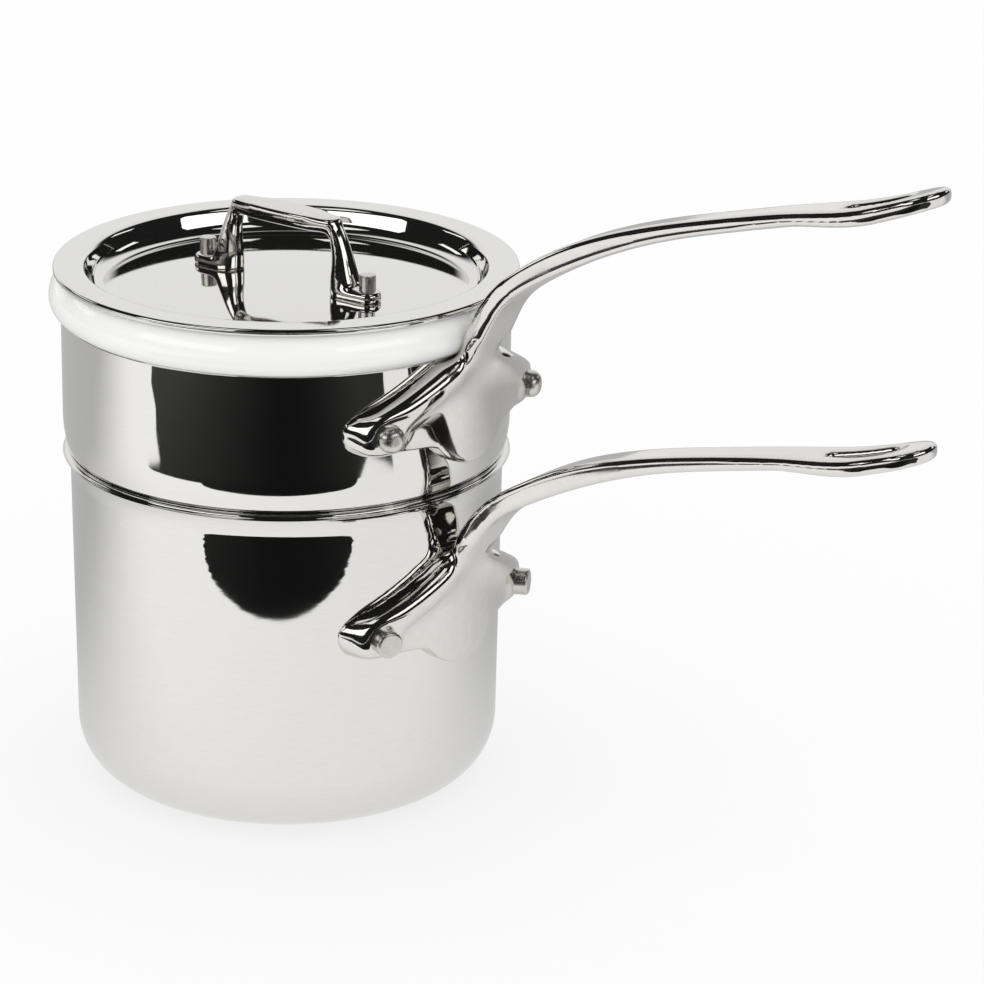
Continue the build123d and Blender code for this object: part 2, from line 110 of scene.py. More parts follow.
def swayedNormal(tree, look, normal):
    # turns the normal a little sideways about the upright, in a different way on each fine line
    noise = stretchedNoise(tree, look["swayScale"], 2.0, 0.5)
    sway = addNode(tree, "ShaderNodeMapRange", {"From Min": 0.3, "From Max": 0.7, "To Min": -look["sway"],
                                                "To Max": look["sway"]}, {"Value": noise.outputs["Fac"]})
    side = addNode(tree, "ShaderNodeVectorMath", {"operation": "CROSS_PRODUCT"})
    side.inputs[0].default_value = (0, 0, 1)
    tree.links.new(normal, side.inputs[1])
    moved = addNode(tree, "ShaderNodeVectorMath", {"operation": "MULTIPLY_ADD"})
    tree.links.new(side.outputs[0], moved.inputs[0])
    tree.links.new(sway.outputs["Result"], moved.inputs[1])
    tree.links.new(normal, moved.inputs[2])
    whole = addNode(tree, "ShaderNodeVectorMath", {"operation": "NORMALIZE"})
    tree.links.new(moved.outputs[0], whole.inputs[0])
    return whole.outputs[0]


def metalMaterial(name, look):
    # a polished metal: fine lines and a slow wave in its surface, wiped patches in its gloss
    material, tree = newMaterial(name)
    if "ringPitch" in look:
        lines = ringNoise(tree, look["ringPitch"], 3.0, 0.6)
    else:
        lines = stretchedNoise(tree, look["lineScale"], 3.0, 0.6)
    wave = stretchedNoise(tree, (look["waveScale"],) * 3, 2.0, 0.5)
    wiped = stretchedNoise(tree, (look["wipeScale"],) * 3, 4.0, 0.6)
    rough = addNode(tree, "ShaderNodeMapRange",
                    {"From Min": 0.35, "From Max": 0.65,
                     "To Min": look["roughLow"], "To Max": look["roughHigh"]},
                    {"Value": wiped.outputs["Fac"]})
    tint = addNode(tree, "ShaderNodeMix", {"data_type": "RGBA"})
    tint.inputs["A"].default_value = toLinear(look["colour"])
    tint.inputs["B"].default_value = toLinear(look["shade"])
    tree.links.new(lines.outputs["Fac"], tint.inputs["Factor"])
    waveBump = addNode(tree, "ShaderNodeBump",
                       {"Strength": look["waveStrength"], "Distance": look["waveDepth"]},
                       {"Height": wave.outputs["Fac"]})
    lineBump = addNode(tree, "ShaderNodeBump",
                       {"Strength": look["lineStrength"], "Distance": look["lineDepth"]},
                       {"Height": lines.outputs["Fac"], "Normal": waveBump.outputs["Normal"]})
    normal = lineBump.outputs["Normal"]
    if "sway" in look:
        normal = swayedNormal(tree, look, normal)
    shader = addNode(tree, "ShaderNodeBsdfPrincipled", {"Metallic": 1.0},
                     {"Base Color": tint.outputs["Result"], "Roughness": rough.outputs["Result"],
                      "Normal": normal})
    return finishMaterial(material, tree, shader.outputs["BSDF"])


# Mirror-polished stainless steel: reflections stay sharp, with a trace of wiping in the gloss
mirrorSteel = {
    "colour": "e8e7e4", "shade": "e2e1dd",
    "lineScale": (40, 40, 1 / (0.9 * mm)), "lineStrength": 0.10, "lineDepth": 0.004 * mm,
    "waveScale": 1 / (42 * mm), "waveStrength": 0.5, "waveDepth": 0.06 * mm,
    "wipeScale": 1 / (30 * mm), "roughLow": 0.030, "roughHigh": 0.055,
}
# Buffed stainless steel: still a mirror, but the buffing lines round the pot fray the edges of reflections
buffedSteel = {
    "colour": "e6e5e2", "shade": "dfdeda",
    "lineScale": (1 / (5 * mm), 1 / (5 * mm), 1 / (0.8 * mm)), "lineStrength": 1.0, "lineDepth": 0.0016 * mm,
    "waveScale": 1 / (50 * mm), "waveStrength": 0.4, "waveDepth": 0.05 * mm,
    "wipeScale": 1 / (35 * mm), "roughLow": 0.022, "roughHigh": 0.040,
    "swayScale": (1 / (9 * mm), 1 / (9 * mm), 1 / (1.1 * mm)), "sway": 0.007,   # radians
}
# The same sheet turned on a lathe for the lid: faint rings about its axis
turnedSteel = {
    "colour": "e8e7e4", "shade": "e2e1dd",
    "ringPitch": 0.8 * mm, "lineStrength": 0.5, "lineDepth": 0.001 * mm,
    "waveScale": 1 / (60 * mm), "waveStrength": 0.4, "waveDepth": 0.05 * mm,
    "wipeScale": 1 / (30 * mm), "roughLow": 0.030, "roughHigh": 0.055,
}
# Tumble-polished cast stainless steel: bright, a little orange peel, slightly warmer than the sheet
castSteel = {
    "colour": "e4e2de", "shade": "d9d6d1",
    "lineScale": (1 / (3 * mm),) * 3, "lineStrength": 0.08, "lineDepth": 0.004 * mm,
    "waveScale": 1 / (11 * mm), "waveStrength": 0.35, "waveDepth": 0.08 * mm,
    "wipeScale": 1 / (12 * mm), "roughLow": 0.050, "roughHigh": 0.095,
}
# Satin rivet steel: duller and warmer, with the marks of the setting tool
rivetSteel = {
    "colour": "dedbd6", "shade": "cdc8c1",
    "lineScale": (1 / (1.2 * mm),) * 3, "lineStrength": 0.06, "lineDepth": 0.02 * mm,
    "waveScale": 1 / (4 * mm), "waveStrength": 0.2, "waveDepth": 0.05 * mm,
    "wipeScale": 1 / (3 * mm), "roughLow": 0.25, "roughHigh": 0.34,
}
# Glazed porcelain: pure white body under a clear glaze, which flows a little unevenly
porcelainLook = {
    "colour": "fbfbfa", "shade": "f7f7f5", "cloudScale": 1 / (18 * mm),
    "roughness": 0.07, "glazeScale": 1 / (26 * mm), "glazeDepth": 0.10 * mm,
}


def porcelainMaterial(name, look):
    material, tree = newMaterial(name)
    cloud = stretchedNoise(tree, (look["cloudScale"],) * 3, 3.0, 0.5)
    glaze = stretchedNoise(tree, (look["glazeScale"],) * 3, 1.5, 0.4)
    tint = addNode(tree, "ShaderNodeMix", {"data_type": "RGBA"})
    tint.inputs["A"].default_value = toLinear(look["colour"])
    tint.inputs["B"].default_value = toLinear(look["shade"])
    tree.links.new(cloud.outputs["Fac"], tint.inputs["Factor"])
    bump = addNode(tree, "ShaderNodeBump", {"Strength": 0.4, "Distance": look["glazeDepth"]},
                   {"Height": glaze.outputs["Fac"]})
    shader = addNode(tree, "ShaderNodeBsdfPrincipled", {"Roughness": look["roughness"], "IOR": 1.5},
                     {"Base Color": tint.outputs["Result"], "Normal": bump.outputs["Normal"]})
    return finishMaterial(material, tree, shader.outputs["BSDF"])


materials = {
    "pot_steel": metalMaterial("buffed stainless steel", buffedSteel),
    "collar_steel": metalMaterial("mirror stainless steel", mirrorSteel),
    "lid_steel": metalMaterial("turned stainless steel", turnedSteel),
    "handle_steel": metalMaterial("polished cast steel", castSteel),
    "rivet_steel": metalMaterial("satin rivet steel", rivetSteel),
    "porcelain": porcelainMaterial("glazed porcelain", porcelainLook),
}

slotOf = {part["node"]: part["material_slot"] for part in frame["record"]["subparts"]}
for name, piece in frame["nodes"].items():
    piece.data.materials.clear()
    piece.data.materials.append(materials[slotOf[name]])
print("finishes done:", len(materials), "slots")


def arcOf(centre, radius, fromAngle, toAngle, steps=14):  # points of an arc, angles in degrees
    turns = [math.radians(fromAngle + (toAngle - fromAngle) * i / steps) for i in range(steps + 1)]
    return [(centre[0] + radius * math.cos(t), centre[1] + radius * math.sin(t)) for t in turns]


def roundedPath(corners, steps=10, support=0.15):
    # corners are (radius, height) or (radius, height, rounding); a rounding has a support point on each side
    path = []
    for i, corner in enumerate(corners):
        here = Vector(corner[:2])
        if len(corner) == 2:
            path.append(here)
            continue
        before = Vector(corners[i - 1][:2]) - here
        after = Vector(corners[(i + 1) % len(corners)][:2]) - here
        opening = before.angle(after)
        trim = min(corner[2] / math.tan(opening / 2), 0.49 * before.length, 0.49 * after.length)
        size = trim * math.tan(opening / 2)
        start, end = here + before.normalized() * trim, here + after.normalized() * trim
        inward = (before.normalized() + after.normalized()).normalized()
        centre = here + inward * (size / math.sin(opening / 2))
        path.append(here + before.normalized() * (trim + support))
        outward = [(start - centre).normalized(), (end - centre).normalized()]
        path += [centre + outward[0].slerp(outward[1], step / steps) * size for step in range(steps + 1)]
        path.append(here + after.normalized() * (trim + support))
    return path


def spunShell(name, corners, look, body, node):
    # one full turn of a closed section, given in mm from the pot's axis
    build = bmesh.new()
    path = [build.verts.new((r * mm, 0, z * mm)) for r, z in roundedPath(corners)]
    closed = min(r for r, *_ in corners) > 0
    edges = [build.edges.new(pair) for pair in zip(path, path[1:])]
    if closed:
        edges.append(build.edges.new((path[-1], path[0])))
    bmesh.ops.spin(build, geom=path + edges, cent=(0, 0, 0), axis=(0, 0, 1), angle=math.tau,
                   steps=look["segments"], use_merge=True)
    bmesh.ops.remove_doubles(build, verts=build.verts[:], dist=0.01 * mm)
    bmesh.ops.recalc_face_normals(build, faces=build.faces[:])
    return dressPiece(name, build, look, body, node)


def dressPiece(name, build, look, body, node):
    mesh = bpy.data.meshes.new(name)
    build.to_mesh(mesh)
    build.free()
    mesh.shade_smooth()
    piece = bpy.data.objects.new(name, mesh)
    bpy.context.scene.collection.objects.link(piece)
    mesh.materials.append(materials[look["slot"]])
    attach(piece, body)
    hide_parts(node)
    return piece


# Lower pot: thick wall, rounded foot, trumpet lip with a round edge
potLook = {
    "slot": "pot_steel", "segments": 256,
    "radius": 72.5, "taper": 1.2, "wall": 2.6, "floor": 3.4, "corner": 20.0,
    "flareStart": 107.3, "flareRadius": 12.0, "flareAngle": 44.0,
}


def buildPot(look):
    centre = (look["radius"] + look["flareRadius"], look["flareStart"])
    middle = look["flareRadius"] + look["wall"] / 2
    last = 180 - look["flareAngle"] + math.degrees(look["wall"] / 2 / middle)
    edge = arcOf(centre, middle, last, last, 1)[0]
    foot = look["radius"] - look["taper"]
    corners = [(0, 0), (foot, 0, look["corner"])]
    corners += arcOf(centre, look["flareRadius"], 180, last)
    corners += arcOf(edge, look["wall"] / 2, last - 180, last - 360)[1:-1]
    corners += arcOf(centre, look["flareRadius"] + look["wall"], last, 180)
    corners += [(foot - look["wall"], look["floor"], look["corner"] - look["wall"]), (0, look["floor"])]
    return spunShell("potShell", corners, look, "base_pan", "lower_pot")


# Collar: straight band whose lower edge curves in to the pot's lip
collarLook = {
    "slot": "collar_steel", "segments": 256,
    "radius": 74.8, "top": 163.0, "wall": 2.0, "edge": 0.5, "bowlDrop": 35.0,
    "seatCentre": (84.5, 107.3), "seatRadius": 14.9, "seatAngle": 41.5,
    "skirtDrop": 6.5, "skirtWall": 1.8,
}


def buildCollar(look):
    inner, skirt = look["radius"] - look["wall"], look["seatCentre"][0] - look["seatRadius"]
    seat = arcOf(look["seatCentre"], look["seatRadius"], 180 - look["seatAngle"], 180)
    step, fall = look["radius"] - seat[0][0], look["top"] - look["bowlDrop"] - seat[0][1]
    bowlRadius = (step**2 + fall**2) / 2 / step
    bowlCentre = (look["radius"] - bowlRadius, look["top"] - look["bowlDrop"])
    sweep = math.degrees(math.asin(fall / bowlRadius))
    innerBowl = arcOf(bowlCentre, bowlRadius - look["wall"], -sweep, 0)
    foot = look["seatCentre"][1] - look["skirtDrop"]
    corners = [(inner, look["top"], look["edge"]), (look["radius"], look["top"], look["edge"])]
    corners += arcOf(bowlCentre, bowlRadius, 0, -sweep) + seat[1:]
    corners += [(skirt, foot, look["edge"]), (skirt - look["skirtWall"], foot, look["edge"]),
                (skirt - look["skirtWall"], innerBowl[0][1])]
    corners += innerBowl
    return spunShell("collarBand", corners, look, "collar", "collar")


# Porcelain insert: rolled rim over a deep bowl
insertLook = {
    "slot": "porcelain", "segments": 256,
    "belly": (78.67, 168.5), "rimFoot": (74.6, 163.0), "crown": (75.0, 176.8),
    "mouth": 69.2, "mouthRound": 1.6,
    "shoulder": 72.5, "shoulderDrop": 5.0, "shoulderRound": 2.5,
    "upper": 70.0, "lower": 66.0, "wall": 4.2, "floor": 5.0, "corner": 19.0,
    "taperTop": 131.0, "taperFoot": 113.0, "bottom": 47.5,
}


def rollOf(belly, end):  # arc that leaves the belly upright and ends at a given point
    step, climb = belly[0] - end[0], end[1] - belly[1]
    radius = (step**2 + climb**2) / 2 / step
    return arcOf((belly[0] - radius, belly[1]), radius, 0, math.degrees(math.asin(climb / radius)))


def buildInsert(look):
    foot, drop, wall = look["rimFoot"], look["shoulderDrop"], look["wall"]
    corners = [(0, look["bottom"] + look["floor"]),
               (look["lower"] - wall, look["bottom"] + look["floor"], look["corner"] - wall),
               (look["lower"] - wall, look["taperFoot"], look["corner"]),
               (look["upper"] - wall, look["taperTop"], look["corner"]),
               (look["mouth"], foot[1] - drop, look["corner"]),
               (look["mouth"], look["crown"][1], look["mouthRound"]),
               (*look["crown"], look["mouthRound"])]
    corners += rollOf(look["belly"], look["crown"])[-2::-1] + rollOf(look["belly"], foot)[1:]
    corners += [(look["shoulder"], foot[1]),
                (look["shoulder"], foot[1] - drop, look["shoulderRound"]),
                (look["upper"], foot[1] - 2 * drop, look["shoulderRound"]),
                (look["upper"], look["taperTop"], look["corner"]),
                (look["lower"], look["taperFoot"], look["corner"]),
                (look["lower"], look["bottom"], look["corner"]),
                (0, look["bottom"])]
    return spunShell("insertBowl", corners, look, "insert", "porcelain_insert")


# Lid: flat flange, soft brow, leaning recess wall, a floor that rises a little to its middle
lidLook = {
    "slot": "lid_steel", "segments": 256,
    "radius": 77.2, "top": 179.2, "sheet": 2.4, "flange": 10.1, "lean": 2.9, "depth": 7.3,
    "brow": 2.4, "hollow": 5.4, "edge": 1.1, "domeTop": 0.7, "domeDrop": 2.0,
    "domeShare": 0.88, "domeSteps": 24,
}


def buildLid(look):
    brow, floor, sheet = look["radius"] - look["flange"], look["top"] - look["depth"], look["sheet"]
    lean = math.atan2(look["lean"], look["depth"])
    step = sheet * (1 - math.sin(lean)) / math.cos(lean)
    rim = brow - look["lean"]
    low = floor + look["domeTop"] - look["domeDrop"]
    dome = [(rim * share, low + look["domeDrop"] * (1 - share**2))
            for share in numpy.linspace(0, look["domeShare"], look["domeSteps"])]
    corners = dome + [(rim, low, look["hollow"]), (brow, look["top"], look["brow"])]
    corners += [(look["radius"], look["top"], look["edge"])]
    corners += [(look["radius"], look["top"] - sheet, look["edge"])]
    corners += [(brow + step, look["top"] - sheet, look["brow"])]
    corners += [(rim + step, low - sheet, look["hollow"] + sheet)] + [(r, z - sheet) for r, z in dome[::-1]]
    return spunShell("lidSheet", corners, look, "lid", "lid")


# Castings: the CAD's own form, its rivet holes plugged, its edges melted as casting and tumbling leave them.
# A rod is two ends, a reach and its turns of smoothing. An end is given out from the wall, across, and up
# from the rivets, or on the lid's handle along its bar, across it, and up from the floor of the recess.
longRods = [((5, 0, 12), (9, 0, 24), 15, 40)]
longRods += [((6, side * 9, 15), (-5, side * 37, -1), 15, 420) for side in (1, -1)]
longRods += [((6, side * 8, 12), (7, side * 8, 19), 9, 160) for side in (1, -1)]
longRods += [((128, 0, 83), (178, 0, 98), 24, 60)]
lidRods = [((side * 25, 0, 2), (side * 34, 0, 2), 10, 240) for side in (1, -1)]
lidRods += [((side * 19, 0, 25), (side * 25, 0, 14), 9, 260) for side in (1, -1)]
longCasting = {
    "slot": "handle_steel", "grain": 0.43, "melt": 14, "rods": longRods,
    "hold": 2.5,                   # how far off its seat a casting is free to melt
    "plugRadius": 6.6, "plugLength": 6.4,
}
castings = {
    "lowerHandleCast": {**longCasting, "node": "lower_handle", "body": "base_pan", "origin": (72.1, 0, 72.3),
                        "neckBend": 0, "tilt": 0, "plugs": [(26.5, 79.4), (-26.5, 79.4)]},
    "collarHandleCast": {**longCasting, "node": "collar_handle", "body": "collar", "origin": (74.8, 0, 142.5),
                         "neckBend": 2.5, "tilt": 2.0, "plugs": [(26.5, 82.1), (-26.5, 82.1)]},
    "lidHandleCast": {"slot": "handle_steel", "grain": 0.26, "melt": 30, "rods": lidRods, "hold": 1.1,
                      "node": "lid_handle", "body": "lid", "origin": (0, 0, 171.9),
                      "pads": [34.4, -34.4], "plugRadius": 3.4, "plugLength": 3.4, "plugLift": 0.2},
}


def addPlugs(build, look):  # cylinders that close the rivet holes: the rivets are pieces of their own
    origin, length = Vector(look["origin"]), look["plugLength"]
    places = []
    for bearing, end in look.get("plugs", []):
        turn = math.radians(bearing)
        axis = Vector((math.cos(turn), math.sin(turn), 0))
        places.append((axis, axis * (end - length / 2) + Vector((0, 0, origin.z))))
    for across in look.get("pads", []):
        places.append((Vector((0, 0, 1)), Vector((across, 0, origin.z + length / 2 + look["plugLift"]))))
    for axis, middle in places:
        turned = Matrix.Translation(middle * mm) @ axis.to_track_quat("Z", "Y").to_matrix().to_4x4()
        bmesh.ops.create_cone(build, cap_ends=True, segments=48, radius1=look["plugRadius"] * mm,
                              radius2=look["plugRadius"] * mm, depth=length * mm, matrix=turned)


def addMelt(carrier, turns, group=""):  # a smoothing modifier, within a vertex group if one is named
    melt = carrier.modifiers.new("melt", "SMOOTH")
    melt.factor = 0.5
    melt.iterations = turns
    melt.vertex_group = group


def bakedMesh(carrier):  # the carrier's mesh with its modifiers in it
    mesh = bpy.data.meshes.new_from_object(carrier.evaluated_get(bpy.context.evaluated_depsgraph_get()))
    bpy.data.objects.remove(carrier)
    return mesh


def carrierOf(mesh):
    carrier = bpy.data.objects.new("carrier", mesh)
    bpy.context.scene.collection.objects.link(carrier)
    return carrier


# The long bar, redrawn as one smooth sweep a little proud of the solid, so that its reflections run true.
# Rows are shares of the reach, of the rise, of the neck's bend and of the thickness, as the solid has them.
barLook = {
    "reach": 178.0, "rise": 95.0, "thickness": 7.0, "halfWidth": 10.5, "proud": 0.3, "round": 1.8,
    "dives": (12.0, 28.0),         # lengths over which it rises out of the neck and sinks into the loop
    "pivotShare": 0.253, "sections": 120, "cornerSteps": 6,
    "rows": [(0.022, 0.186, 0.00, 0.80), (0.038, 0.253, 0.00, 0.89), (0.059, 0.321, 0.15, 0.91),
             (0.082, 0.386, 0.60, 0.91), (0.113, 0.447, 0.85, 0.92), (0.160, 0.506, 1.00, 0.96),
             (0.258, 0.606, 1.00, 1.00), (0.375, 0.696, 1.00, 0.84), (0.461, 0.747, 1.00, 0.72),
             (0.592, 0.809, 1.00, 0.64), (0.723, 0.865, 1.00, 0.66), (0.859, 0.913, 1.00, 0.78)],
    "lastShare": 0.80,             # of the reach, where the sweep dives into the loop
    "widths": [(0.000, 0.90), (0.045, 0.86), (0.100, 0.74), (0.220, 0.68), (0.420, 0.66), (0.640, 0.67),
               (0.770, 0.84), (0.870, 1.00)],
}


def splined(rows, count):  # a smooth curve through rows of numbers, by a natural cubic spline
    rows = numpy.array(rows, float)
    spans = numpy.linalg.norm(numpy.diff(rows[:, :2], axis=0), axis=1)
    at = numpy.concatenate([[0], numpy.cumsum(spans)])
    system, pull = numpy.eye(len(rows)), numpy.zeros_like(rows)
    for i in range(1, len(rows) - 1):
        system[i, i - 1:i + 2] = spans[i - 1], 2 * (spans[i - 1] + spans[i]), spans[i]
        pull[i] = 6 * ((rows[i + 1] - rows[i]) / spans[i] - (rows[i] - rows[i - 1]) / spans[i - 1])
    bend = numpy.linalg.solve(system, pull)
    curve = []
    for place in numpy.linspace(0, at[-1], count):
        i = min(numpy.searchsorted(at, place, "right") - 1, len(spans) - 1)
        low, high, span = place - at[i], at[i + 1] - place, spans[i]
        curve.append((bend[i] * high**3 + bend[i + 1] * low**3) / 6 / span
                     + (rows[i] / span - bend[i] * span / 6) * high
                     + (rows[i + 1] / span - bend[i + 1] * span / 6) * low)
    return numpy.array(curve)


def addBar(build, look, bar):  # rounded oblong sections along the bar's centre line, bridged one to the next
    rows = []
    for out, up, share, thick in bar["rows"]:
        x, z = bar["reach"] * out, bar["rise"] * up + look["neckBend"] * share
        turn, pivot = math.radians(look["tilt"]) * share, bar["rise"] * bar["pivotShare"]
        rows.append((x * math.cos(turn) - (z - pivot) * math.sin(turn), z + x * math.sin(turn),
                     bar["thickness"] * thick / 2))
    centre = splined(rows, bar["sections"])
    centre = centre[centre[:, 0] < bar["reach"] * bar["lastShare"]]
    widths = splined([(bar["reach"] * out, bar["halfWidth"] * half) for out, half in bar["widths"]], 200)
    heading = numpy.gradient(centre[:, :2], axis=0)
    heading /= numpy.linalg.norm(heading, axis=1)[:, None]
    run = numpy.concatenate([[0], numpy.cumsum(numpy.linalg.norm(numpy.diff(centre[:, :2], axis=0), axis=1))])
    rings = []
    for (x, z, half), (dx, dz), place in zip(centre, heading, run):
        nearEnd = min(place / bar["dives"][0], (run[-1] - place) / bar["dives"][1], 1)
        proud = bar["proud"] * (2 * nearEnd * nearEnd * (3 - 2 * nearEnd) - 1)
        high, wide = half + proud, numpy.interp(x, widths[:, 0], widths[:, 1]) + proud
        corner = min(bar["round"], 0.95 * high)
        ring = []
        for quarter, (side, level) in enumerate([(1, 1), (-1, 1), (-1, -1), (1, -1)]):
            for across, upward in arcOf((side * (wide - corner), level * (high - corner)), corner,
                                        90 * quarter, 90 * quarter + 90, bar["cornerSteps"]):
                spot = Vector((x - dz * upward, across, z + dx * upward)) + Vector(look["origin"])
                ring.append(build.verts.new(spot * mm))
        rings.append([build.edges.new(pair) for pair in zip(ring, ring[1:] + ring[:1])])
    for near, far in zip(rings, rings[1:]):
        bmesh.ops.bridge_loops(build, edges=near + far)
    for end in (rings[0], rings[-1]):
        bmesh.ops.edgeloop_fill(build, edges=end)


def clearOf(spot, look):  # how far a place stands off the sheet that carries the casting, in metres
    if "plugs" in look:
        return math.hypot(spot.x, spot.y) - look["origin"][0] * mm
    return spot.z - look["origin"][2] * mm


def buildCasting(name, look):
    build = bmesh.new()
    build.from_mesh(frame["nodes"][look["node"]].data)
    bmesh.ops.remove_doubles(build, verts=build.verts[:], dist=0.002 * mm)
    addPlugs(build, look)
    if "neckBend" in look:
        addBar(build, look, barLook)
    bmesh.ops.recalc_face_normals(build, faces=build.faces[:])
    raw = bpy.data.meshes.new(name + "Raw")
    build.to_mesh(raw)
    build.free()
    carrier = carrierOf(raw)
    remesh = carrier.modifiers.new("remesh", "REMESH")
    remesh.mode = "VOXEL"
    remesh.voxel_size = look["grain"] * mm
    addMelt(carrier, look["melt"])
    carrier = carrierOf(bakedMesh(carrier))
    for i, (start, end, reach, turns) in enumerate(look["rods"]):
        start, end = [(Vector(look["origin"]) + Vector(place)) * mm for place in (start, end)]
        group = carrier.vertex_groups.new(name="rod" + str(i))
        for vertex in carrier.data.vertices:
            beside, share = intersect_point_line(vertex.co, start, end)
            beside = start.lerp(end, min(max(share, 0), 1))
            nearness = 1 - (vertex.co - beside).length / (reach * mm)
            weight = min(1.0, 2 * nearness, clearOf(vertex.co, look) / (look["hold"] * mm))
            if weight > 0:
                group.add([vertex.index], weight, "REPLACE")
        addMelt(carrier, turns, group.name)
    build = bmesh.new()
    build.from_mesh(bakedMesh(carrier))
    bmesh.ops.recalc_face_normals(build, faces=build.faces[:])
    print(name, len(build.faces), "faces")
    return dressPiece(name, build, look, look["body"], look["node"])


buildPot(potLook)
buildCollar(collarLook)
buildInsert(insertLook)
buildLid(lidLook)
for name, look in castings.items():
    buildCasting(name, look)
print("pieces done")


# Studio: a white table whose front edge drops away into a dark room, a white wall behind, a dark ceiling, and
# softboxes and panels to either side. All of the room but the table is seen in reflections only.
studio = {
    "floorSize": 8.0,
    "floorColour": "e9e9e9",
    "floorShadow": 0.26,           # share of the table's brightness to the eye that shadows can take
    "floorWhite": 0.72,
    "floorDim": 0.20,              # what shadows take from the table in reflections
    # light of the table in reflections, from behind the pot to its front: place and strength
    "floorBack": (-0.17, 0.30),
    "floorFront": (0.12, 0.80),
    "floorSides": (0.25, 1.05, 0.93),  # reach to either side, factor at the left and at the right
    "skyForCamera": 1.0,
    "skyForLight": 1.04,
    "wallStrength": 0.90,
    "darkStrength": 0.012,
    "ceiling": (0.80, 0.93),       # sine of the elevation where the white wall fades out
    "frontFade": (-0.84, -0.66),   # cosine of the bearing from the camera, where the dark room begins
    # edge of the table in front, metres towards the camera and to its right
    "tableEdge": [(0.253, -0.215), (0.237, -0.190), (0.234, -0.165), (0.241, -0.125), (0.247, -0.080),
                  (0.253, -0.030), (0.257, 0.026), (0.260, 0.081), (0.261, 0.124), (0.269, 0.155),
                  (0.290, 0.180), (0.345, 0.225), (0.353, 0.278), (0.302, 0.314), (0.267, 0.330),
                  (0.382, 0.399), (0.60, 0.62), (1.6, 1.1), (3.0, 1.2), (3.0, -1.2), (0.80, -0.62),
                  (0.222, -0.530), (0.203, -0.494), (0.211, -0.450), (0.199, -0.417), (0.200, -0.374),
                  (0.151, -0.388), (0.158, -0.350)],
    "roomFade": [(-0.46, 0.050), (-0.20, 0.018), (0.05, 0.008), (0.30, 0.030)],  # place to the right, level
    "roomLift": 0.0006,
}


def bearingVector(bearing):  # from the pot's axis, in degrees to the right of the camera
    turn = math.radians(cameraSetup["bearing"] + bearing)
    return Vector((math.cos(turn), math.sin(turn), 0))


towardCamera = bearingVector(0)
toRight = bearingVector(90)


def addCard(name, rows, material, reflectedOnly=True):  # a card of the studio from rows of corners
    build = bmesh.new()
    grid = [[build.verts.new(spot) for spot in row] for row in rows]
    if len(grid) == 1:
        build.faces.new(grid[0])
    for low, high in zip(grid, grid[1:]):
        for i in range(len(low) - 1):
            build.faces.new([low[i], low[i + 1], high[i + 1], high[i]])
    bmesh.ops.triangulate(build, faces=build.faces[:])
    mesh = bpy.data.meshes.new(name)
    build.to_mesh(mesh)
    build.free()
    mesh.materials.append(material)
    card = bpy.data.objects.new(name, mesh)
    bpy.context.scene.collection.objects.link(card)
    if reflectedOnly:
        card.visible_camera = False
        card.visible_diffuse = False
        card.visible_shadow = False
        card.visible_transmission = False
    return card


def alongDirection(tree, socket, direction):  # how far a place or direction lies along a given one
    along = addNode(tree, "ShaderNodeVectorMath", {"operation": "DOT_PRODUCT"})
    tree.links.new(socket, along.inputs[0])
    along.inputs[1].default_value = direction
    return along.outputs["Value"]


def fade(tree, socket, fromRange, toRange):
    return addNode(tree, "ShaderNodeMapRange",
                   {"interpolation_type": "SMOOTHSTEP", "From Min": fromRange[0], "From Max": fromRange[1],
                    "To Min": toRange[0], "To Max": toRange[1]}, {"Value": socket}).outputs["Result"]


def mathNode(tree, operation, first, second):
    node = addNode(tree, "ShaderNodeMath", {"operation": operation})
    for socket, value in zip(node.inputs, (first, second)):
        if isinstance(value, (int, float)):
            socket.default_value = value
        else:
            tree.links.new(value, socket)
    return node.outputs[0]


def tableMaterial():
    # white table: lit and shadowed for the eye; in reflections it glows more in front than behind
    material, tree = newMaterial("white table")
    where = addNode(tree, "ShaderNodeTexCoord").outputs["Object"]
    path = addNode(tree, "ShaderNodeLightPath")
    lit = addNode(tree, "ShaderNodeBsdfDiffuse", {"Color": toLinear(studio["floorColour"])})
    forward = alongDirection(tree, where, towardCamera)
    back, front = studio["floorBack"], studio["floorFront"]
    reach, left, right = studio["floorSides"]
    sides = fade(tree, alongDirection(tree, where, toRight), (-reach, reach), (left, right))
    depth = fade(tree, forward, (back[0], front[0]), (back[1], front[1]))
    glow = addNode(tree, "ShaderNodeEmission", {"Color": (1, 1, 1, 1)},
                   {"Strength": mathNode(tree, "MULTIPLY", depth, sides)})
    dim = addNode(tree, "ShaderNodeBsdfDiffuse", {"Color": (studio["floorDim"],) * 3 + (1,)})
    both = addNode(tree, "ShaderNodeAddShader")
    tree.links.new(dim.outputs[0], both.inputs[0])
    tree.links.new(glow.outputs[0], both.inputs[1])
    pale = addNode(tree, "ShaderNodeBsdfDiffuse", {"Color": (studio["floorShadow"],) * 3 + (1,)})
    white = addNode(tree, "ShaderNodeEmission", {"Color": (1, 1, 1, 1), "Strength": studio["floorWhite"]})
    seen = addNode(tree, "ShaderNodeAddShader")
    tree.links.new(pale.outputs[0], seen.inputs[0])
    tree.links.new(white.outputs[0], seen.inputs[1])
    shader = lit
    for ray, shown in (("Is Camera Ray", seen), ("Is Glossy Ray", both)):
        choice = addNode(tree, "ShaderNodeMixShader", links={"Fac": path.outputs[ray]})
        tree.links.new(shader.outputs[0], choice.inputs[1])
        tree.links.new(shown.outputs[0], choice.inputs[2])
        shader = choice
    return finishMaterial(material, tree, shader.outputs[0])


